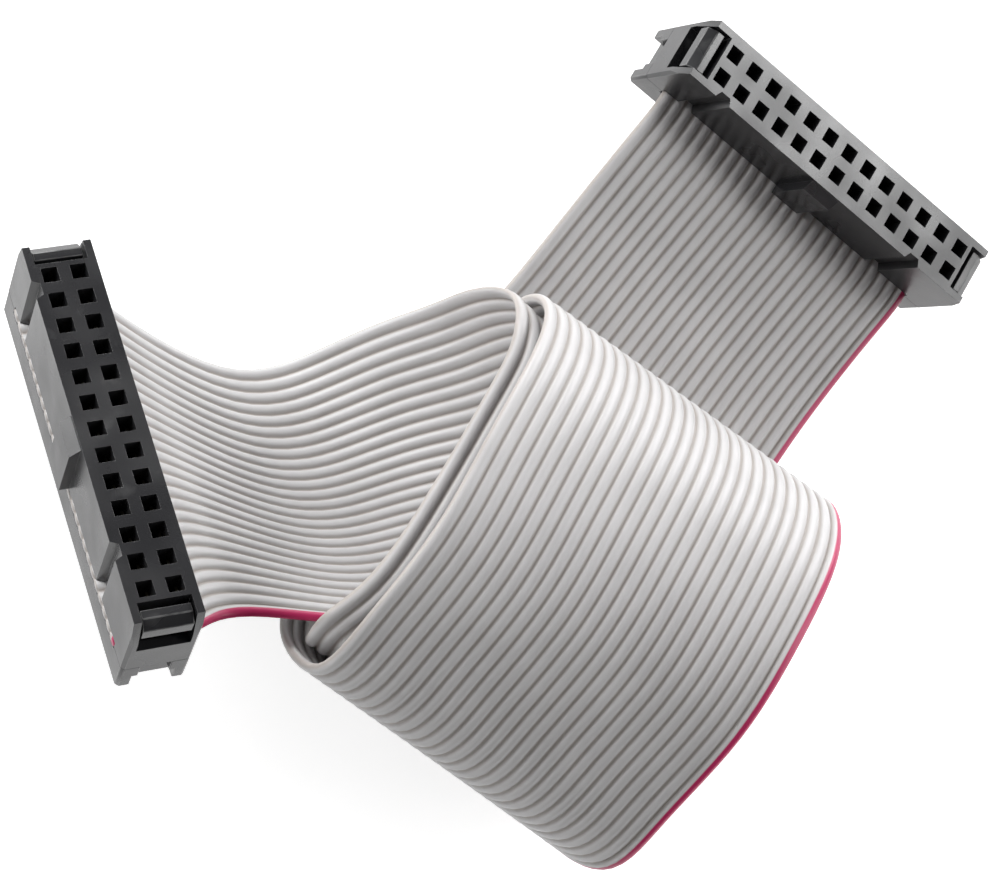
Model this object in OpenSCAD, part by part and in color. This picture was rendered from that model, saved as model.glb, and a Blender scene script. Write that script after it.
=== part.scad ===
// Flat ribbon cable with a 26-way clamp-on socket at each end, rolled up loosely and lying on a table.
// Millimetres. +Z is up and z = 0 is the table. The origin is under the middle of the whole object.
// Each socket has its own frame: +x along it towards the marked conductor, -y is the side with the
// polarising key, +z leaves the mating face, and the mating face is z = 0.

/* [Contacts] */
// Spacing of the contacts along a row and between the two rows
pitch = 2.54; // [2:0.01:3]
// Contacts in each row
columns = 13; // [5:1:13]
// Side of the square entry of each contact cavity
hole_side = 1.44; // [1.1:0.02:1.7]
// Floor between each contact cavity and the ribbon
cavity_floor = 1.23; // [0.8:0.01:1.6]
// Thickness of the contact's sheet metal
contact_sheet = 0.25; // [0.15:0.05:0.35]
// Width of a contact
contact_width = 0.9; // [0.7:0.05:1.2]
// How far a contact's mouth lies below the mating face
contact_drop = 1.6; // [0.7:0.1:2]
// How far below its mouth a contact is narrowest
nip_drop = 1.2; // [0.6:0.1:1.6]
// Clearance of a contact in its cavity and slots
contact_room = 0.03; // [0.02:0.01:0.1]
// Opening between the two tines of the fork that bites a conductor
fork_opening = 0.3; // [0.2:0.05:0.4]
// How far the fork's tips pass the far side of the ribbon
fork_reach = 0.8; // [0.4:0.1:1.2]

/* [Socket housing] */
// Length of the housing beyond the outermost contacts, at each end
end_length = 3.56; // [3.4:0.02:5]
// Width of the housing
housing_width = 6.1; // [5.7:0.1:8]
// Height from the mating face to the joint with the cover
housing_height = 7.2; // [6.8:0.1:9]
// Width of the polarising key
key_width = 3.4; // [2:0.1:5]
// How far the key stands proud
key_proud = 0.9; // [0.3:0.1:1.5]
// How far the key's upper end lies below the mating face
key_drop = 0.3; // [0:0.1:1]
// Rise of the bevel at the key's upper end
key_bevel = 0.9; // [0.3:0.1:1.5]
// Width of the two narrow grooves in the key side
groove_width = 1.1; // [0.5:0.1:1.6]
// Depth of the two narrow grooves
groove_depth = 0.7; // [0.3:0.1:0.8]
// Height of the bridge across each end
bridge_height = 3.2; // [1.6:0.1:3.8]
// Thickness of the bridge
bridge_thick = 0.9; // [0.5:0.1:1]
// Width of the recess between the two corner posts of an end
recess_width = 4.7; // [3:0.1:4.8]
// Chamfer along the outer corners of the housing and the cover
corner_chamfer = 0.3; // [0.1:0.05:0.8]
// How far the posts lean in at the mating face
post_inset = 0.6; // [0.2:0.1:0.8]
// Height over which the posts lean in towards the mating face
post_lean = 3; // [1:0.5:5]
// Width of the wedge that the latch arm snaps over
tooth_width = 1.6; // [0.8:0.1:2]
// Height of that wedge
tooth_height = 1.4; // [0.8:0.1:2]

/* [Clamp cover] */
// Thickness of the cover, from the joint to its back
cover_thick = 3.1; // [2.6:0.1:5]
// Thickness of the cover's latch arms
arm_thick = 0.8; // [0.5:0.1:0.9]
// Height of the bevelled hook at the tip of each latch arm
hook_height = 1.9; // [1:0.1:3]
// How far the hook's tip lies below the mating face
hook_drop = 0.35; // [0.1:0.05:1]
// Rise of the hook's bevel
hook_bevel = 0.7; // [0.3:0.1:1]
// Height of the solid root of each arm, below its window
arm_root = 1.6; // [1:0.1:3]
// Width of each of an arm's two legs
leg_width = 0.75; // [0.5:0.05:1]
// Width of the notch between the two legs at each end of the cover
notch_width = 2.7; // [1:0.1:3.4]
// How much wider the notch is at each side towards the back of the cover
foot_step = 0.5; // [0.2:0.1:0.8]
// Height of the notch's wider part
foot_height = 1.5; // [0.5:0.1:2]
// Running clearance of the latch arms in the housing
arm_gap = 0.15; // [0.05:0.05:0.3]
// Room behind each arm, towards the middle of the socket
back_gap = 0.55; // [0.3:0.05:0.8]

/* [Ribbon] */
// Thickness of the ribbon over a conductor
ribbon_thick = 0.9; // [0.6:0.05:1.1]
// Room above and below the ribbon where it is clamped
clamp_gap = 0.02; // [0.01:0.01:0.1]

/* [Hidden] */

eps = 0.01;
// the ribbon has two conductors for each column of contacts
wires = 2 * columns;
wire_pitch = pitch / 2;
ribbon_width = wires * wire_pitch;
row_length = (columns - 1) * pitch;
socket_length = row_length + 2 * end_length;
half_length = socket_length / 2;
half_width = housing_width / 2;
// the arm's slot lies just inside the bridge
slot_out = half_length - bridge_thick;
slot_in = slot_out - arm_thick - arm_gap - back_gap;
clamp_z = -housing_height;
half_channel = ribbon_thick / 2 + clamp_gap;
channel_width = ribbon_width + 2 * clamp_gap;
hole_depth = housing_height - half_channel - cavity_floor;

// Where the middle of each mating face lies, and how the socket is turned
left_place = [-25, 25.5, 17.9];
left_turn = [4.5, -20, -139.5];
right_place = [38, -21.5, 15.1];
right_turn = [7, 9, -89];

// The ribbon's route. Each row is one control point of a smooth curve: x, y, z of the unmarked edge,
// then how far the marked edge lies from it in x and in z, then how far the middle arches.
ROUTE = [
    // the dip beside the left socket, where the ribbon turns into the roll
    [-10, 28.5, 0.5, -21.5, 14.5, -1],
    [-9.5, 15.5, 0.5, -18, 20, -2.5],
    [-3, 10.5, 0.5, -18.5, 19, -2.5],
    [2, 7.5, 3.5, -20.5, 14, -2],
    // the innermost bend at the top of the roll
    [5, 4.5, 8.5, -20, 9, -2.5],
    [6.5, 3.5, 13, -18, 5, -2.5],
    [6, 2, 19, -14.5, 1.5, -2],
    [3, 1.5, 23.5, -8.5, 1, -1.5],
    // the upper inner layer
    [-1, 0.5, 24.5, -4, 4, -0.5],
    [-4.5, 0.5, 24.5, -5, 6, 0],
    [-17.5, 0.5, 24, -4, 2, -1],
    // the inner bend at the bottom of the roll
    [-26, 1, 23, -2.5, -1.5, -0.5],
    [-30.5, 3.5, 22, -1, -4, 0],
    [-31.5, 1.5, 16.5, 0.5, -3.5, 0],
    [-26, 1, 10.5, -2, -4.5, 0],
    // the lower inner layer
    [-22, 0.5, 7, -1.5, -5, 0],
    [-13, -0.5, 4, -1.5, -2.5, -0.5],
    [-3, -1, 2.5, -1.5, -0.5, 0],
    [3, -2, 4, -1.5, 0.5, 0],
    // the outer bend at the top of the roll
    [6.5, -2, 7.5, -1, 0, 0],
    [8, -0.5, 13.5, -0.5, -0.5, 0],
    [6, 0, 21.5, 0, 0, 0],
    [3, -0.5, 26, -0.5, 0, 0],
    // the top layer
    [-3.5, 0, 30, 0, 0.5, 0],
    [-12, 0.5, 31, 0, 0.5, 0],
    [-21, 0, 30.5, 0.5, -1.5, 0],
    // the outer bend at the bottom of the roll
    [-30, 1, 27, 1.5, -3.5, 0],
    [-35, 0.5, 21.5, 1, -3, 0],
    [-31.5, 3.5, 15, -0.5, -3.5, 0],
    [-27, 3, 9, -2, -4.5, 0],
    // the bottom layer
    [-22, 3, 4.5, -1, -3.5, 0],
    [-14, 1.5, 1.5, -0.5, -1, -0.5],
    [-4.5, 1, 0.5, -0.5, 0, 0],
    [4, 0, 2, -0.5, -1.5, -0.5],
    [11.5, -1.5, 5, 0, -4.5, -0.5],
    [19, -2, 8, 0.5, -6, -0.5],
    [30.5, -3.5, 9.5, -0.5, -6, 0]
];
// Steps of the curve between two control points
steps = 2;
// Flat spans across the ribbon
spans = 6;

// A direction or a point of a socket's frame, taken to the object's frame
function turned(v, a) =
    let (
        x = [v[0], v[1] * cos(a[0]) - v[2] * sin(a[0]), v[1] * sin(a[0]) + v[2] * cos(a[0])],
        y = [x[0] * cos(a[1]) + x[2] * sin(a[1]), x[1], x[2] * cos(a[1]) - x[0] * sin(a[1])]
    )
    [y[0] * cos(a[2]) - y[1] * sin(a[2]), y[0] * sin(a[2]) + y[1] * cos(a[2]), y[2]];
function placed(v, place, turn) = place + turned(v, turn);
// A control point inside or just outside a socket, at a distance along its y
function clamp_point(y, place, turn) =
    let (grey = placed([-ribbon_width / 2, y, clamp_z], place, turn))
    [grey, turned([ribbon_width, 0, 0], turn), 0];
// A control point of the free ribbon, whose width never changes
function free_point(r) =
    let (chord = ribbon_width - 8 / 3 * r[5] * r[5] / ribbon_width)
    [[r[0], r[1], r[2]], [r[3], -sqrt(chord * chord - r[3] * r[3] - r[4] * r[4]), r[4]], r[5]];
// Straight length of the ribbon at each side of where it leaves a socket
lead = 1.5;
controls = concat(
    [for (y = [half_width - lead, half_width, half_width + lead]) clamp_point(y, left_place, left_turn)],
    [for (r = ROUTE) free_point(r)],
    [for (y = [-half_width - lead, -half_width, -half_width + lead]) clamp_point(y, right_place, right_turn)]
);
// One point of the uniform cubic curve through four control points
function blend(c, i, t, k) =
    (pow(1 - t, 3) * c[i][k] + (3 * t * t * t - 6 * t * t + 4) * c[i + 1][k]
    + (-3 * t * t * t + 3 * t * t + 3 * t + 1) * c[i + 2][k] + t * t * t * c[i + 3][k]) / 6;
function station(c, i, t) = [blend(c, i, t, 0), blend(c, i, t, 1), blend(c, i, t, 2)];
// Length of ribbon inside a socket
tail = housing_width;
rail = concat(
    [clamp_point(half_width - tail, left_place, left_turn)],
    [for (i = [0:len(controls) - 4]) for (s = [0:steps - 1]) station(controls, i, s / steps)],
    [station(controls, len(controls) - 4, 1), clamp_point(-half_width + tail, right_place, right_turn)]
);
function unit(v) = v / norm(v);
function middle(s) = s[0] + s[1] / 2;
function heading(i) = unit(middle(rail[min(i + 1, len(rail) - 1)]) - middle(rail[max(i - 1, 0)]));
// The side of the ribbon that faces the sockets' mating faces where it is clamped
function face_normal(i) = unit(cross(rail[i][1], heading(i)));
function across(i, v, h) =
    rail[i][0] + rail[i][1] * v + face_normal(i) * (rail[i][2] * 4 * v * (1 - v) + h);
function ring(i, from, to, n) = concat(
    [for (j = [0:n]) across(i, from + (to - from) * j / n, ribbon_thick / 2)],
    [for (j = [n:-1:0]) across(i, from + (to - from) * j / n, -ribbon_thick / 2)]
);
// Walls of a tube of m rings with k points each; the second form splits each wall the other way
function walls(m, k, other) = [
    for (i = [0:m - 2]) for (j = [0:k - 1])
        let (a = i * k + j, b = i * k + (j + 1) % k, c = a + k, d = b + k)
        each (other ? [[a, b, c], [b, d, c]] : [[a, b, d], [a, d, c]])
];

module strip(from, to, n, other) {
    k = 2 * n + 2;
    m = len(rail);
    polyhedron(
        points = [for (i = [0:m - 1]) each ring(i, from, to, n)],
        faces = concat(
            walls(m, k, other),
            [[for (j = [k - 1:-1:0]) j], [for (j = [0:k - 1]) (m - 1) * k + j]]
        ),
        convexity = 12
    );
}

// All insulation but that of the marked conductor, moulded as one strip
module ribbon_insulation() {
    color("lightgray") difference() {
        strip(0, 1 - 1 / wires, spans, false);
        in_left() each_fork() fork_slot();
        in_right() each_fork() fork_slot();
    }
}

// The insulation of the marked conductor at the edge
module marked_conductor() {
    color("crimson") difference() {
        strip(1 - 1 / wires, 1, 1, true);
        in_left() each_fork([1]) fork_slot();
        in_right() each_fork([1]) fork_slot();
    }
}

module in_left() {
    translate(left_place) rotate(left_turn) children();
}

module in_right() {
    translate(right_place) rotate(right_turn) children();
}

// Middle of each contact cavity of one row, -1 for the row at the key side
module each_contact(row) {
    for (c = [0:columns - 1]) translate([(c - (columns - 1) / 2) * pitch, row * pitch / 2, 0]) children();
}

module side_groove(x) {
    w = groove_width / 2;
    translate([x, -half_width, -housing_height - eps])
        linear_extrude(housing_height + 2 * eps)
            polygon([[-w - groove_depth / 2, -eps], [-w, groove_depth], [w, groove_depth],
                [w + groove_depth / 2, -eps]]);
}

module housing_outline() {
    c = corner_chamfer;
    polygon([
        [-half_length + c, -half_width], [half_length - c, -half_width], [half_length, -half_width + c],
        [half_length, half_width - c], [half_length - c, half_width], [-half_length + c, half_width],
        [-half_length, half_width - c], [-half_length, -half_width + c]
    ]);
}

// Wedge on the housing that the window of the latch arm snaps over
module latch_tooth() {
    top = -hook_drop - hook_height - 1;
    reach = back_gap + arm_thick / 3;
    rotate([90, 0, 0]) linear_extrude(tooth_width, center = true)
        polygon([[slot_in - eps, top - tooth_height], [slot_in + reach, top - tooth_height],
            [slot_in, top], [slot_in - eps, top]]);
}

module housing() {
    difference() {
        union() {
            translate([0, 0, -housing_height]) linear_extrude(housing_height) housing_outline();
            // polarising key with a bevelled upper end
            translate([-key_width / 2, -half_width, 0]) rotate([90, 0, 90]) linear_extrude(key_width)
                polygon([[eps, -key_drop], [-key_proud, -key_drop - key_bevel], [-key_proud, -housing_height],
                    [eps, -housing_height]]);
        }
        for (row = [-1, 1]) each_contact(row)
            translate([-hole_side / 2, -hole_side / 2, -hole_depth])
                cube([hole_side, hole_side, hole_depth + eps]);
        side_groove(-row_length / 2 + pitch / 2);
        side_groove(row_length / 2 - 1.5 * pitch);
        for (end = [0, 1]) mirror([end, 0, 0]) {
            // open recess above the bridge, and the slot behind it for the latch arm
            translate([slot_in, -recess_width / 2, -housing_height + bridge_height])
                cube([half_length, recess_width, housing_height]);
            translate([slot_in, -recess_width / 2, -housing_height - eps])
                cube([slot_out - slot_in, recess_width, housing_height]);
            // the posts lean in towards the mating face
            translate([half_length, 0, 0]) rotate([90, 0, 0])
                linear_extrude(housing_width + 2 * eps, center = true)
                    polygon([[-post_inset, eps], [eps, eps], [eps, -post_lean]]);
        }
        // upper half of the channel that the ribbon is clamped in
        translate([-channel_width / 2, -half_width - eps - key_proud, clamp_z - eps])
            cube([channel_width, housing_width + 2 * eps + key_proud, half_channel + eps]);
        each_fork() fork_slot();
    }
    for (end = [0, 1]) mirror([end, 0, 0]) latch_tooth();
}

// One arm of the cover: two legs, and the bevelled hook across their tips
module latch_arm() {
    arm_half = recess_width / 2 - arm_gap;
    top = -hook_drop;
    x0 = slot_in + back_gap;
    hook_out = half_length - 0.2;
    window = clamp_z + arm_root;
    difference() {
        union() {
            // the arm grows out of the cover
            translate([x0, -arm_half, clamp_z - arm_thick])
                cube([arm_thick, 2 * arm_half, top - clamp_z + arm_thick]);
            // the hook reaches out over the bridge and its face is bevelled
            rotate([90, 0, 0]) translate([0, 0, -arm_half]) linear_extrude(2 * arm_half)
                polygon([[x0, top], [x0 + arm_thick, top], [hook_out, top - hook_bevel],
                    [hook_out, top - hook_height], [x0, top - hook_height]]);
        }
        translate([x0 - eps, -arm_half + leg_width, window])
            cube([arm_thick + 2 * eps, 2 * (arm_half - leg_width), top - hook_height - window]);
    }
}

module cover() {
    difference() {
        translate([0, 0, clamp_z - cover_thick]) linear_extrude(cover_thick) housing_outline();
        // lower half of the ribbon's channel
        translate([-channel_width / 2, -half_width - eps, clamp_z - half_channel])
            cube([channel_width, housing_width + 2 * eps, half_channel + eps]);
        each_fork() fork_slot();
        for (end = [0, 1]) mirror([end, 0, 0]) {
            // notch between the two legs, wider towards the back
            translate([slot_out, -notch_width / 2, clamp_z - cover_thick - eps])
                cube([bridge_thick + eps, notch_width, cover_thick + 2 * eps]);
            translate([slot_out, -notch_width / 2 - foot_step, clamp_z - cover_thick - eps])
                cube([bridge_thick + eps, notch_width + 2 * foot_step, foot_height]);
        }
    }
    for (end = [0, 1]) mirror([end, 0, 0]) latch_arm();
}

// Middle of each fork: every other conductor for one row, the ones between for the other
module each_fork(rows = [-1, 1]) {
    for (row = rows) each_contact(row) translate([row * wire_pitch / 2, 0, 0]) children();
}

// Slot that a fork passes through, from the cavity down to beyond the ribbon
module fork_slot() {
    deep = fork_reach + ribbon_thick / 2 + contact_room;
    translate([-contact_width / 2 - contact_room, -contact_sheet / 2 - contact_room, clamp_z - deep])
        cube([contact_width + 2 * contact_room, contact_sheet + 2 * contact_room,
            deep + half_channel + cavity_floor + contact_room]);
}

// The slotted fork, seen from the front
module fork() {
    half = contact_width / 2;
    tip = clamp_z - ribbon_thick / 2 - fork_reach;
    root = clamp_z + ribbon_thick / 2;
    throat = fork_opening / 2;
    rotate([90, 0, 0]) linear_extrude(contact_sheet, center = true)
        polygon([[-half, -hole_depth + eps], [half, -hole_depth + eps], [half, tip],
            [throat, tip + fork_opening], [throat, root], [-throat, root],
            [-throat, tip + fork_opening], [-half, tip]]);
}

// A formed contact: two spring beams that stand in the cavity, and the fork below them
module contact(row) {
    sheet = contact_sheet;
    beam = hole_side / 2 - contact_room;
    nip = 0.3;
    base = -hole_depth;
    rise = base + 1;
    mouth = -contact_drop;
    narrow = mouth - nip_drop;
    rotate([90, 0, 90]) linear_extrude(contact_width, center = true)
        for (side = [0, 1]) mirror([side, 0])
            polygon([[beam, rise], [beam, base], [-eps, base], [-eps, base + sheet],
                [beam - sheet, base + sheet], [beam - sheet, rise], [nip, narrow],
                [beam - 1.4 * sheet, mouth], [beam - 0.4 * sheet, mouth], [nip + sheet, narrow]]);
    translate([row * wire_pitch / 2, 0, 0]) fork();
}

module contacts(row) {
    each_contact(row) contact(row);
}

module left_housing() {
    color("dimgray") in_left() housing();
}

module left_cover() {
    color("darkslategray") in_left() cover();
}

module left_key_row_contacts() {
    color("gold") in_left() contacts(-1);
}

module left_plain_row_contacts() {
    color("gold") in_left() contacts(1);
}

module right_housing() {
    color("dimgray") in_right() housing();
}

module right_cover() {
    color("darkslategray") in_right() cover();
}

module right_key_row_contacts() {
    color("gold") in_right() contacts(-1);
}

module right_plain_row_contacts() {
    color("gold") in_right() contacts(1);
}

ribbon_insulation();
marked_conductor();
left_housing();
left_cover();
left_key_row_contacts();
left_plain_row_contacts();
right_housing();
right_cover();
right_key_row_contacts();
right_plain_row_contacts();
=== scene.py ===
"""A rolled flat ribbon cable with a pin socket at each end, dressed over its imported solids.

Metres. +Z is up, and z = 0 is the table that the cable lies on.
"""

import logging
import math
from dataclasses import dataclass, field
from enum import Enum

import bmesh
import bpy
from mathutils import Euler, Matrix, Vector

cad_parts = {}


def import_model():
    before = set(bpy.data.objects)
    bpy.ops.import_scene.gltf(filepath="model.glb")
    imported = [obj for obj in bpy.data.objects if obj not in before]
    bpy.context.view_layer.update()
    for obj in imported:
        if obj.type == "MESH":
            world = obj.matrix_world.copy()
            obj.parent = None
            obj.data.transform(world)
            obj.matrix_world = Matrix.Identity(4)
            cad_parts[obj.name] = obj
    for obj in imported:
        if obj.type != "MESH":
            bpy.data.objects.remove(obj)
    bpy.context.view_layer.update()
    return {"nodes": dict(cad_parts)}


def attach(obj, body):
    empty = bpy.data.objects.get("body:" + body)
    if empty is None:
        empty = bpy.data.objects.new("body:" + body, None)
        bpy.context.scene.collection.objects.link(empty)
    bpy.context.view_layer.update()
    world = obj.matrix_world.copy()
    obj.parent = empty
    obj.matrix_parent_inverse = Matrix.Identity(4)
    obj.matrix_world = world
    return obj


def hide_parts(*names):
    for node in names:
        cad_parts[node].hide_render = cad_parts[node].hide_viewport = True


LOG = logging.getLogger("ribbon_cable")
MM = 0.001

# The ribbon's route, one control point a row, in millimetres: x, y, z of the unmarked edge, then how
# far the marked edge lies from it in x and in z, then how far the middle arches.
ROUTE = (
    # the dip beside the left socket, where the ribbon turns into the roll
    (-10, 28.5, 0.5, -21.5, 14.5, -1),
    (-9.5, 15.5, 0.5, -18, 20, -2.5),
    (-3, 10.5, 0.5, -18.5, 19, -2.5),
    (2, 7.5, 3.5, -20.5, 14, -2),
    # the innermost bend at the top of the roll
    (5, 4.5, 8.5, -20, 9, -2.5),
    (6.5, 3.5, 13, -18, 5, -2.5),
    (6, 2, 19, -14.5, 1.5, -2),
    (3, 1.5, 23.5, -8.5, 1, -1.5),
    # the upper inner layer
    (-1, 0.5, 24.5, -4, 4, -0.5),
    (-4.5, 0.5, 24.5, -5, 6, 0),
    (-17.5, 0.5, 24, -4, 2, -1),
    # the inner bend at the bottom of the roll
    (-26, 1, 23, -2.5, -1.5, -0.5),
    (-30.5, 3.5, 22, -1, -4, 0),
    (-31.5, 1.5, 16.5, 0.5, -3.5, 0),
    (-26, 1, 10.5, -2, -4.5, 0),
    # the lower inner layer
    (-22, 0.5, 7, -1.5, -5, 0),
    (-13, -0.5, 4, -1.5, -2.5, -0.5),
    (-3, -1, 2.5, -1.5, -0.5, 0),
    (3, -2, 4, -1.5, 0.5, 0),
    # the outer bend at the top of the roll
    (6.5, -2, 7.5, -1, 0, 0),
    (8, -0.5, 13.5, -0.5, -0.5, 0),
    (6, 0, 21.5, 0, 0, 0),
    (3, -0.5, 26, -0.5, 0, 0),
    # the top layer
    (-3.5, 0, 30, 0, 0.5, 0),
    (-12, 0.5, 31, 0, 0.5, 0),
    (-21, 0, 30.5, 0.5, -1.5, 0),
    # the outer bend at the bottom of the roll
    (-30, 1, 27, 1.5, -3.5, 0),
    (-35, 0.5, 21.5, 1, -3, 0),
    (-31.5, 3.5, 15, -0.5, -3.5, 0),
    (-27, 3, 9, -2, -4.5, 0),
    # the bottom layer
    (-22, 3, 4.5, -1, -3.5, 0),
    (-14, 1.5, 1.5, -0.5, -1, -0.5),
    (-4.5, 1, 0.5, -0.5, 0, 0),
    (4, 0, 2, -0.5, -1.5, -0.5),
    (11.5, -1.5, 5, 0, -4.5, -0.5),
    (19, -2, 8, 0.5, -6, -0.5),
    (30.5, -3.5, 9.5, -0.5, -6, 0),
)


class Side(Enum):
    """The two sockets, named for the side of the view that they lie on."""

    LEFT = "left"
    RIGHT = "right"


@dataclass(frozen=True)
class Place:
    """Where a socket's own frame lies: the middle of its mating face, and how it is turned."""

    origin: tuple[float, float, float]
    turn: tuple[float, float, float]

    def matrix(self) -> Matrix:
        """Return the socket frame's matrix, in metres."""
        turn = Euler([math.radians(a) for a in self.turn], "XYZ").to_matrix().to_4x4()
        return Matrix.Translation(Vector(self.origin) * MM) @ turn


PLACES = {
    Side.LEFT: Place((-25, 25.5, 17.9), (4.5, -20, -139.5)),
    Side.RIGHT: Place((38, -21.5, 15.1), (7, 9, -89)),
}


@dataclass(frozen=True)
class Vinyl:
    """The ribbon's soft insulation, with the coloured marking along one edge."""

    name: str
    color: tuple[float, float, float, float] = (0.60, 0.592, 0.595, 1.0)
    # colour of the grooves: painted shade between the conductors
    groove_shade: tuple[float, float, float, float] = (0.45, 0.412, 0.388, 1.0)
    mark: tuple[float, float, float, float] = (0.50, 0.02, 0.11, 1.0)
    # where the marking starts across the ribbon, and how soft its border is, in millimetres
    mark_from: float = 32.28
    blur: float = 0.12
    # height over the ribbon's middle plane, in millimetres, over which the grooves' painted shade gives way
    # to the crest's colour
    groove_top: float = 0.18
    crest_foot: float = 0.38
    roughness: float = 0.37

    def material(self) -> bpy.types.Material:
        """Build the vinyl: soft clouds, painted shade in the grooves, the edge's marking and fine pores.

        Returns:
            The material.
        """
        mat, tree, shader = principled(self.name)
        lay = tree.nodes.new("ShaderNodeAttribute")
        lay.attribute_name = "lay"
        parts = tree.nodes.new("ShaderNodeSeparateXYZ")
        tree.links.new(lay.outputs["Vector"], parts.inputs["Vector"])
        coords = tree.nodes.new("ShaderNodeTexCoord")
        clouds = noise(tree, coords.outputs["Object"], scale=220.0, detail=3.0)
        # painted shade: the grooves between the conductors are coloured darker and warmer than the crests
        height = tree.nodes.new("ShaderNodeMath")
        height.operation = "ABSOLUTE"
        tree.links.new(parts.outputs["Z"], height.inputs[0])
        crest = span(tree, height.outputs[0], self.groove_top, self.crest_foot)
        body = mixed(tree, crest, self.groove_shade, self.color)
        tone = span(tree, clouds, 0.25, 0.75, 0.94, 1.04)
        body = tinted(tree, body, tone)
        border = self.blur / 2
        mark = span(tree, parts.outputs["Y"], self.mark_from - border, self.mark_from + border)
        tree.links.new(mixed(tree, mark, body, self.mark), shader.inputs["Base Color"])
        rough = span(tree, clouds, 0.2, 0.8, self.roughness - 0.06, self.roughness + 0.08)
        tree.links.new(rough, shader.inputs["Roughness"])
        pores = noise(tree, coords.outputs["Object"], scale=2600.0, detail=2.0)
        bump(tree, shader, pores, strength=0.2, distance=0.00004)
        return mat


@dataclass(frozen=True)
class Moulding:
    """Moulded black plastic with a satin skin, paler along its edges: partly wear, partly a painted
    highlight.
    """

    name: str
    color: tuple[float, float, float, float] = (0.020, 0.020, 0.022, 1.0)
    # paler colour of the edges: partly wear, partly a painted highlight along them
    wear_and_highlight: tuple[float, float, float, float] = (0.13, 0.13, 0.13, 1.0)
    roughness: float = 0.26
    gloss: float = 0.7
    # how far scuffs show away from the edges, as a share of the wear and painted highlight along them
    spots: float = 0.35
    # depth of the sink marks against that of the grain
    sinks: float = 6.0

    def material(self) -> bpy.types.Material:
        """Build the plastic: near black, with scuffs, paler edges of wear and painted highlight, a satin
        skin and a fine grain.

        Returns:
            The material.
        """
        mat, tree, shader = principled(self.name)
        coords = tree.nodes.new("ShaderNodeTexCoord")
        scuffs = noise(tree, coords.outputs["Object"], scale=420.0, detail=6.0)
        patches = noise(tree, coords.outputs["Object"], scale=130.0, detail=2.0)
        # the rounded edges are coloured paler: wear, together with a painted highlight
        rubbed_and_highlit = tree.nodes.new("ShaderNodeAttribute")
        rubbed_and_highlit.attribute_name = "rubbed_and_highlit"
        edge = tree.nodes.new("ShaderNodeMath")
        edge.operation = "MULTIPLY"
        tree.links.new(rubbed_and_highlit.outputs["Fac"], edge.inputs[0])
        tree.links.new(span(tree, scuffs, 0.35, 0.62), edge.inputs[1])
        spots = tree.nodes.new("ShaderNodeMath")
        spots.operation = "MULTIPLY_ADD"
        tree.links.new(span(tree, scuffs, 0.6, 0.85), spots.inputs[0])
        spots.inputs[1].default_value = self.spots
        tree.links.new(edge.outputs[0], spots.inputs[2])
        tree.links.new(mixed(tree, spots.outputs[0], self.color, self.wear_and_highlight), shader.inputs["Base Color"])
        rough = span(tree, patches, 0.3, 0.7, self.roughness - 0.06, self.roughness + 0.1)
        tree.links.new(rough, shader.inputs["Roughness"])
        shader.inputs["Specular IOR Level"].default_value = self.gloss
        # shallow sink marks, with the mould's fine grain over them
        relief = tree.nodes.new("ShaderNodeMath")
        relief.operation = "MULTIPLY_ADD"
        tree.links.new(noise(tree, coords.outputs["Object"], scale=300.0, detail=1.0), relief.inputs[0])
        relief.inputs[1].default_value = self.sinks
        tree.links.new(noise(tree, coords.outputs["Object"], scale=4200.0, detail=3.0), relief.inputs[2])
        bump(tree, shader, relief.outputs[0], strength=0.2, distance=0.00003)
        return mat


@dataclass(frozen=True)
class SpringMetal:
    """Stamped and plated contact metal."""

    name: str
    color: tuple[float, float, float, float]
    roughness: float = 0.3

    def material(self) -> bpy.types.Material:
        """Build the plated metal with the draw marks of its strip.

        Returns:
            The material.
        """
        mat, tree, shader = principled(self.name)
        shader.inputs["Base Color"].default_value = self.color
        shader.inputs["Metallic"].default_value = 1.0
        coords = tree.nodes.new("ShaderNodeTexCoord")
        marks = noise(tree, coords.outputs["Object"], scale=900.0, detail=4.0)
        rough = span(tree, marks, 0.0, 1.0, self.roughness - 0.08, self.roughness + 0.12)
        tree.links.new(rough, shader.inputs["Roughness"])
        return mat


def principled(name: str) -> tuple[bpy.types.Material, bpy.types.NodeTree, bpy.types.Node]:
    """Make a material with one Principled shader.

    Args:
        name: The material's name.

    Returns:
        The material, its node tree and its shader.
    """
    mat = bpy.data.materials.new(name)
    mat.use_nodes = True
    tree = mat.node_tree
    tree.nodes.clear()
    shader = tree.nodes.new("ShaderNodeBsdfPrincipled")
    out = tree.nodes.new("ShaderNodeOutputMaterial")
    tree.links.new(shader.outputs["BSDF"], out.inputs["Surface"])
    return mat, tree, shader


def noise(
    tree: bpy.types.NodeTree, vector: bpy.types.NodeSocket, scale: float, detail: float
) -> bpy.types.NodeSocket:
    """Add a noise texture and return its value.

    Args:
        tree: The material's nodes.
        vector: The coordinates.
        scale: The noise's scale.
        detail: Its number of octaves.

    Returns:
        The noise's value socket.
    """
    node = tree.nodes.new("ShaderNodeTexNoise")
    node.inputs["Scale"].default_value = scale
    node.inputs["Detail"].default_value = detail
    tree.links.new(vector, node.inputs["Vector"])
    return node.outputs["Fac"]


def span(
    tree: bpy.types.NodeTree,
    value: bpy.types.NodeSocket,
    low: float,
    high: float,
    to_low: float = 0.0,
    to_high: float = 1.0,
) -> bpy.types.NodeSocket:
    """Map a range of a value to another range, clamped.

    Args:
        tree: The material's nodes.
        value: The value.
        low: The range's lower end.
        high: The range's upper end.
        to_low: What the lower end becomes.
        to_high: What the upper end becomes.

    Returns:
        The mapped value's socket.
    """
    node = tree.nodes.new("ShaderNodeMapRange")
    for socket, number in (("From Min", low), ("From Max", high), ("To Min", to_low), ("To Max", to_high)):
        node.inputs[socket].default_value = number
    tree.links.new(value, node.inputs["Value"])
    return node.outputs["Result"]


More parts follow.
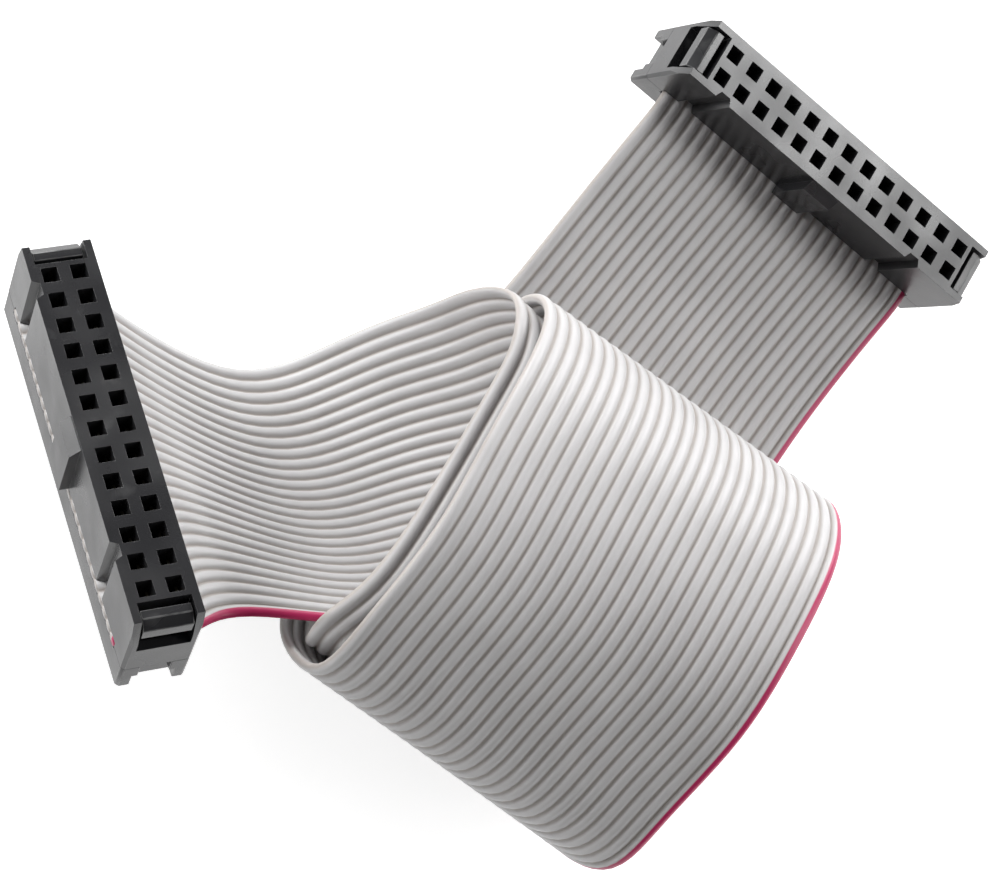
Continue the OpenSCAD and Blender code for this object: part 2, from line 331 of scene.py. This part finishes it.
def mixed(
    tree: bpy.types.NodeTree,
    factor: bpy.types.NodeSocket,
    first: bpy.types.NodeSocket | tuple[float, float, float, float],
    second: bpy.types.NodeSocket | tuple[float, float, float, float],
) -> bpy.types.NodeSocket:
    """Mix two colours, each a socket or a fixed colour.

    Args:
        tree: The material's nodes.
        factor: The share of the second colour.
        first: The first colour.
        second: The second colour.

    Returns:
        The mixed colour's socket.
    """
    node = tree.nodes.new("ShaderNodeMix")
    node.data_type = "RGBA"
    tree.links.new(factor, node.inputs["Factor"])
    for name, color in (("A", first), ("B", second)):
        socket = next(i for i in node.inputs if i.name == name and i.type == "RGBA")
        if isinstance(color, tuple):
            socket.default_value = color
        else:
            tree.links.new(color, socket)
    return next(o for o in node.outputs if o.type == "RGBA")


def tinted(
    tree: bpy.types.NodeTree, color: bpy.types.NodeSocket, tone: bpy.types.NodeSocket
) -> bpy.types.NodeSocket:
    """Make a colour lighter or darker by a tone.

    Args:
        tree: The material's nodes.
        color: The colour.
        tone: What it is multiplied by.

    Returns:
        The toned colour's socket.
    """
    node = tree.nodes.new("ShaderNodeVectorMath")
    node.operation = "SCALE"
    tree.links.new(color, node.inputs[0])
    tree.links.new(tone, node.inputs["Scale"])
    return node.outputs[0]


def bump(
    tree: bpy.types.NodeTree,
    shader: bpy.types.Node,
    height: bpy.types.NodeSocket,
    strength: float,
    distance: float,
) -> None:
    """Feed a height into the shader's normal.

    Args:
        tree: The material's nodes.
        shader: The Principled shader.
        height: The height's socket.
        strength: The bump's strength.
        distance: The bump's depth in metres.
    """
    node = tree.nodes.new("ShaderNodeBump")
    node.inputs["Strength"].default_value = strength
    node.inputs["Distance"].default_value = distance
    tree.links.new(height, node.inputs["Height"])
    tree.links.new(node.outputs["Normal"], shader.inputs["Normal"])


@dataclass
class Ribbon:
    """The flat cable: 26 insulated conductors side by side, joined by thin webs, in millimetres."""

    wires: int = 26
    pitch: float = 1.27
    thick: float = 0.9
    # thickness of the web between two conductors
    web: float = 0.34
    # half width of a conductor's round body, as a share of half the pitch
    fullness: float = 0.95
    # how deep under the mating face a socket clamps the ribbon, and half the socket's width
    clamp_depth: float = 7.2
    half_body: float = 3.05
    # how far the ribbon runs on straight beside a socket, and how much of it lies inside
    lead: float = 1.5
    tail: float = 6.1
    # rings between two points of the route
    steps: int = 6
    # places across one conductor, as shares of half its pitch
    lobe: tuple[float, ...] = (-0.86, -0.68, -0.38, 0.0, 0.38, 0.68, 0.86, 1.0)
    rail: list[tuple[Vector, Vector, float]] = field(default_factory=list)

    def __post_init__(self) -> None:
        """Lay the rail: the unmarked edge, the step to the marked edge and the arch, ring by ring."""
        controls = (
            [self.clamp(y, Side.LEFT) for y in self.leads(1)]
            + [self.free(row) for row in ROUTE]
            + [self.clamp(y, Side.RIGHT) for y in self.leads(-1)]
        )
        last = len(controls) - 4
        self.rail = [self.clamp(self.half_body - self.tail, Side.LEFT)]
        for i in range(last + 1):
            for s in range(self.steps):
                self.rail.append(self.station(controls, i, s / self.steps))
        self.rail.append(self.station(controls, last, 1.0))
        self.rail.append(self.clamp(self.tail - self.half_body, Side.RIGHT))

    @property
    def width(self) -> float:
        """The ribbon's width in millimetres."""
        return self.wires * self.pitch

    def leads(self, sign: int) -> list[float]:
        """Places along a socket's y where the ribbon is held straight."""
        return [sign * self.half_body + d * self.lead for d in (-1, 0, 1)]

    def clamp(self, y: float, side: Side) -> tuple[Vector, Vector, float]:
        """Return the ribbon's station inside or beside a socket.

        Args:
            y: The distance along the socket's y, in millimetres.
            side: The socket.

        Returns:
            The unmarked edge, the step to the marked edge and the arch.
        """
        matrix = PLACES[side].matrix()
        grey = matrix @ (Vector((-self.width / 2, y, -self.clamp_depth)) * MM) / MM
        return grey, matrix.to_3x3() @ Vector((self.width, 0, 0)), 0.0

    def free(self, row: tuple[float, ...]) -> tuple[Vector, Vector, float]:
        """Return the station of one row of the route; the ribbon's width never changes.

        Args:
            row: The unmarked edge's x, y and z, the marked edge's x and z from it, and the arch.

        Returns:
            The unmarked edge, the step to the marked edge and the arch.
        """
        chord = self.width - 8 / 3 * row[5] ** 2 / self.width
        y = -math.sqrt(chord**2 - row[3] ** 2 - row[4] ** 2)
        return Vector(row[:3]), Vector((row[3], y, row[4])), row[5]

    @staticmethod
    def station(
        controls: list[tuple[Vector, Vector, float]], i: int, t: float
    ) -> tuple[Vector, Vector, float]:
        """Return one station of the uniform cubic curve that four control stations shape.

        Args:
            controls: All control stations.
            i: The first of the four.
            t: The place between the second and the third, from 0 to 1.

        Returns:
            The unmarked edge, the step to the marked edge and the arch.
        """
        weights = (
            (1 - t) ** 3 / 6,
            (3 * t**3 - 6 * t**2 + 4) / 6,
            (-3 * t**3 + 3 * t**2 + 3 * t + 1) / 6,
            t**3 / 6,
        )
        edge, step, arch = Vector(), Vector(), 0.0
        for w, (a, b, c) in zip(weights, controls[i : i + 4]):
            edge, step, arch = edge + a * w, step + b * w, arch + c * w
        return edge, step, arch

    def middle(self, i: int) -> Vector:
        """Return the middle of the ribbon at a ring, in millimetres."""
        edge, step, arch = self.rail[i]
        return edge + step / 2 + self.normal(i) * arch

    def normal(self, i: int) -> Vector:
        """Return the direction out of the ribbon, towards the mating faces at its ends.

        Args:
            i: The ring.

        Returns:
            The unit normal.
        """
        ends = [
            self.rail[k][0] + self.rail[k][1] / 2
            for k in (min(i + 1, len(self.rail) - 1), max(i - 1, 0))
        ]
        return self.rail[i][1].cross(ends[0] - ends[1]).normalized()

    def section(self, first: int, last: int) -> list[tuple[float, float]]:
        """Return the outline of some conductors, as a place across and a half thickness.

        Args:
            first: The first conductor.
            last: The last conductor.

        Returns:
            Places across the ribbon in millimetres with the half thickness there.
        """
        points = [(first * self.pitch, self.web / 2)]
        for wire in range(first, last + 1):
            for f in self.lobe:
                x = (wire + 0.5 + f / 2) * self.pitch
                oval = self.thick / 2 * math.sqrt(max(0.0, 1 - (f / self.fullness) ** 2))
                points.append((x, max(oval, self.web / 2)))
        # the ribbon's two outer edges are rounder, and its conductors meet in full webs
        if first == 0:
            points[0] = (points[0][0], self.web / 4)
        if last == self.wires - 1:
            points[-1] = (points[-1][0], self.web / 4)
        return points

    def build(self, name: str, first: int, last: int) -> bpy.types.Object:
        """Build some conductors as one closed strip along the whole route.

        Args:
            name: The piece's name.
            first: The first conductor.
            last: The last conductor.

        Returns:
            The strip, with its own coordinates along, across and out of the ribbon as an attribute.
        """
        outline = self.section(first, last)
        bm = bmesh.new()
        rings = []
        along = 0.0
        lay = bm.verts.layers.float_vector.new("lay")
        for i, (edge, step, arch) in enumerate(self.rail):
            normal = self.normal(i)
            ring = []
            if i:
                along += (self.middle(i) - self.middle(i - 1)).length
            for sign, run in ((1, outline), (-1, outline[::-1])):
                for x, half in run:
                    v = x / self.width
                    mid = edge + step * v + normal * (arch * 4 * v * (1 - v))
                    vert = bm.verts.new((mid + normal * (sign * half)) * MM)
                    # millimetres along the route, across the ribbon, and out of its middle plane
                    vert[lay] = (along, x, sign * half)
                    ring.append(vert)
            rings.append(ring)
        count = len(rings[0])
        for a, b in zip(rings, rings[1:]):
            for k in range(count):
                n = (k + 1) % count
                bm.faces.new((a[k], b[k], b[n], a[n]))
        half = count // 2
        for ring, flip in ((rings[0], False), (rings[-1], True)):
            for k in range(half - 1):
                quad = (ring[k], ring[k + 1], ring[count - 2 - k], ring[count - 1 - k])
                bm.faces.new(quad[::-1] if flip else quad)
        bmesh.ops.recalc_face_normals(bm, faces=bm.faces)
        return finished(bm, name, smooth=True)

    def path(self) -> list[Vector]:
        """Return the middle line of the free ribbon in metres."""
        return [self.middle(i) * MM for i in range(1, len(self.rail) - 1)]

    def length(self) -> float:
        """Return the free ribbon's length in metres."""
        line = self.path()
        return sum((b - a).length for a, b in zip(line, line[1:]))


def finished(bm: bmesh.types.BMesh, name: str, smooth: bool) -> bpy.types.Object:
    """Turn a bmesh into a linked object at the origin.

    Args:
        bm: The mesh, in metres, in the object's frame.
        name: The piece's name.
        smooth: Whether its faces are smooth shaded.

    Returns:
        The object.
    """
    mesh = bpy.data.meshes.new(name)
    bm.to_mesh(mesh)
    bm.free()
    for polygon in mesh.polygons:
        polygon.use_smooth = smooth
    obj = bpy.data.objects.new(name, mesh)
    bpy.context.scene.collection.objects.link(obj)
    return obj


@dataclass
class Moulded:
    """A moulded piece of a socket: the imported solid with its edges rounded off."""

    node: bpy.types.Object
    name: str
    side: Side
    # radius of the rounded edges in millimetres, and the angle in degrees from which an edge has one
    radius: float = 0.09
    sharp: float = 24.0
    # where the housing and the cover meet, along the socket's own z
    seam: float = -7.2
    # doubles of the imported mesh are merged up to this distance
    weld: float = 0.002

    def build(self) -> bpy.types.Object:
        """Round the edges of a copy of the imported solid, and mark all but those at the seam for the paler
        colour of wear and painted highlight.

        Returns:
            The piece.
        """
        bm = bmesh.new()
        bm.from_mesh(self.node.data)
        bmesh.ops.remove_doubles(bm, verts=bm.verts, dist=self.weld * MM)
        bmesh.ops.dissolve_limit(
            bm, angle_limit=math.radians(1.0), use_dissolve_boundaries=False, verts=bm.verts, edges=bm.edges
        )
        edges = [
            e
            for e in bm.edges
            if len(e.link_faces) == 2
            and abs(e.calc_face_angle(0.0)) > math.radians(self.sharp)
            and e.calc_length() > 4 * self.radius * MM
        ]
        made = bmesh.ops.bevel(
            bm,
            geom=edges,
            offset=self.radius * MM,
            offset_type="OFFSET",
            affect="EDGES",
            segments=2,
            profile=0.5,
            material=-1,
            clamp_overlap=True,
        )
        # the rounded edges, all but those at the seam, get the paler colour of wear and painted highlight
        rubbed_and_highlit = bm.loops.layers.float.new("rubbed_and_highlit")
        to_socket = PLACES[self.side].matrix().inverted()
        for face in made["faces"]:
            height = (to_socket @ face.calc_center_median()).z / MM
            for loop in face.loops:
                loop[rubbed_and_highlit] = float(abs(height - self.seam) > 2 * self.radius)
        piece = finished(bm, self.name, smooth=True)
        weighted = piece.modifiers.new("even shading", "WEIGHTED_NORMAL")
        weighted.keep_sharp = False
        weighted.weight = 80
        return piece


@dataclass(frozen=True)
class Softbox:
    """A square soft lamp that looks at the origin: its place and side in metres, its power in watts."""

    name: str
    place: tuple[float, float, float]
    side: float
    power: float

    def hang(self) -> bpy.types.Object:
        """Hang the lamp in the scene.

        Returns:
            The lamp.
        """
        data = bpy.data.lights.new(self.name, "AREA")
        data.shape = "SQUARE"
        data.size = self.side
        data.energy = self.power
        lamp = bpy.data.objects.new(self.name, data)
        turn = Vector(self.place).to_track_quat("Z", "Y").to_matrix().to_4x4()
        lamp.matrix_world = Matrix.Translation(Vector(self.place)) @ turn
        bpy.context.scene.collection.objects.link(lamp)
        return lamp


@dataclass
class Studio:
    """The camera, the lamps, the white table and the white surroundings."""

    focal_px: float = 3547.0
    width_px: float = 998.0
    sensor_mm: float = 36.0
    eye: tuple[float, float, float] = (-0.1220, 0.0730, 0.2936)
    view: tuple[float, float, float] = (0.3745, -0.2508, -0.8927)
    right: tuple[float, float, float] = (0.4474, -0.7944, 0.4108)
    world_level: float = 0.08
    table_half: float = 1.5
    table_white: float = 0.82
    # the table's own light, which only the camera and reflections see
    table_glow: float = 0.75
    softboxes: tuple[Softbox, ...] = (
        Softbox("behind", (0.0, 1.15, 0.28), 0.56, 10.5),
        Softbox("high behind", (-0.1, 0.95, 0.72), 0.56, 1.5),
        Softbox("low right", (0.43, -1.04, 0.42), 0.7, 4.8),
        Softbox("right", (1.08, -0.24, 0.47), 0.7, 9.0),
        Softbox("far corner", (0.85, 0.78, 0.28), 0.56, 7.6),
        Softbox("overhead", (0.37, -0.61, 0.96), 0.36, 3.8),
        Softbox("left", (-1.15, 0.2, 0.3), 0.56, 1.4),
    )

    def camera(self) -> bpy.types.Object:
        """Set the camera at the photograph's viewing angle.

        Returns:
            The camera.
        """
        data = bpy.data.cameras.new("camera")
        data.sensor_width = self.sensor_mm
        data.lens = self.focal_px * self.sensor_mm / self.width_px
        cam = bpy.data.objects.new("camera", data)
        back = -Vector(self.view).normalized()
        right = Vector(self.right)
        right = (right - back * right.dot(back)).normalized()
        up = back.cross(right)
        turn = Matrix((right, up, back)).transposed().to_4x4()
        cam.matrix_world = Matrix.Translation(Vector(self.eye)) @ turn
        bpy.context.scene.collection.objects.link(cam)
        bpy.context.scene.camera = cam
        return cam

    def lamps(self) -> None:
        """Hang the soft lamps in the order of their list."""
        for softbox in self.softboxes:
            softbox.hang()

    def surroundings(self) -> None:
        """Light the scene from all round, with white behind the object."""
        world = bpy.data.worlds.new("studio")
        world.use_nodes = True
        tree = world.node_tree
        tree.nodes.clear()
        path = tree.nodes.new("ShaderNodeLightPath")
        level = span(tree, path.outputs["Is Camera Ray"], 0.0, 1.0, self.world_level, 1.0)
        back = tree.nodes.new("ShaderNodeBackground")
        out = tree.nodes.new("ShaderNodeOutputWorld")
        tree.links.new(level, back.inputs["Strength"])
        tree.links.new(back.outputs["Background"], out.inputs["Surface"])
        bpy.context.scene.world = world
        bpy.context.scene.view_settings.view_transform = "Standard"

    def table(self) -> bpy.types.Object:
        """Lay the white table, which keeps the object's shadow.

        Returns:
            The table top.
        """
        bm = bmesh.new()
        bmesh.ops.create_grid(bm, x_segments=1, y_segments=1, size=self.table_half)
        top = finished(bm, "table_top", smooth=False)
        mat, tree, shader = principled("white table")
        shader.inputs["Base Color"].default_value = (*(self.table_white,) * 3, 1.0)
        shader.inputs["Roughness"].default_value = 0.9
        shader.inputs["Specular IOR Level"].default_value = 0.0
        path = tree.nodes.new("ShaderNodeLightPath")
        seen = tree.nodes.new("ShaderNodeMath")
        seen.operation = "MAXIMUM"
        tree.links.new(path.outputs["Is Camera Ray"], seen.inputs[0])
        tree.links.new(path.outputs["Is Glossy Ray"], seen.inputs[1])
        shader.inputs["Emission Color"].default_value = (1.0, 1.0, 1.0, 1.0)
        glow = span(tree, seen.outputs[0], 0.0, 1.0, 0.0, self.table_glow)
        tree.links.new(glow, shader.inputs["Emission Strength"])
        top.data.materials.append(mat)
        return top


def dress(obj: bpy.types.Object, mat: bpy.types.Material) -> None:
    """Give every material slot of an object one material."""
    obj.data.materials.clear()
    obj.data.materials.append(mat)


def place(piece: bpy.types.Object, slot: str, node: str) -> None:
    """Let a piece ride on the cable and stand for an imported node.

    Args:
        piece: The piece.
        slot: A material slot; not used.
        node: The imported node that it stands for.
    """
    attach(piece, "root")
    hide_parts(node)
    LOG.info("%s: %d faces", piece.name, len(piece.data.polygons))


def main() -> None:
    """Build the scene in order and report each piece."""
    logging.basicConfig(level=logging.INFO, format="%(name)s: %(message)s")
    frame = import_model()
    studio = Studio()
    studio.camera()

    ribbon = Ribbon()
    grey = ribbon.build("ribbon_strip", 0, ribbon.wires - 2)
    red = ribbon.build("marked_edge", ribbon.wires - 1, ribbon.wires - 1)
    vinyl = Vinyl("ribbon vinyl").material()
    dress(grey, vinyl)
    place(grey, "ribbon_grey", "ribbon_insulation")
    dress(red, vinyl)
    place(red, "edge_red", "marked_conductor")

    plastic = Moulding("black moulding").material()
    # the contacts' metal is coloured nearly black: painted shade of the deep holes they sit in
    metal = SpringMetal("contact metal with painted shade", (0.10, 0.088, 0.06, 1.0)).material()
    for name, node in frame["nodes"].items():
        if name.endswith("contacts"):
            dress(node, metal)
            part = node
        elif name.endswith("housing") or name.endswith("cover"):
            side = next(s for s in Side if name.startswith(s.value))
            part = Moulded(node, name + "_moulding", side).build()
            dress(part, plastic)
            place(part, "black_plastic", name)
        else:
            continue

    LOG.info("free ribbon: %.1f mm", ribbon.length() / MM)

    studio.table()
    studio.surroundings()
    studio.lamps()


if __name__ == "__main__":
    main()
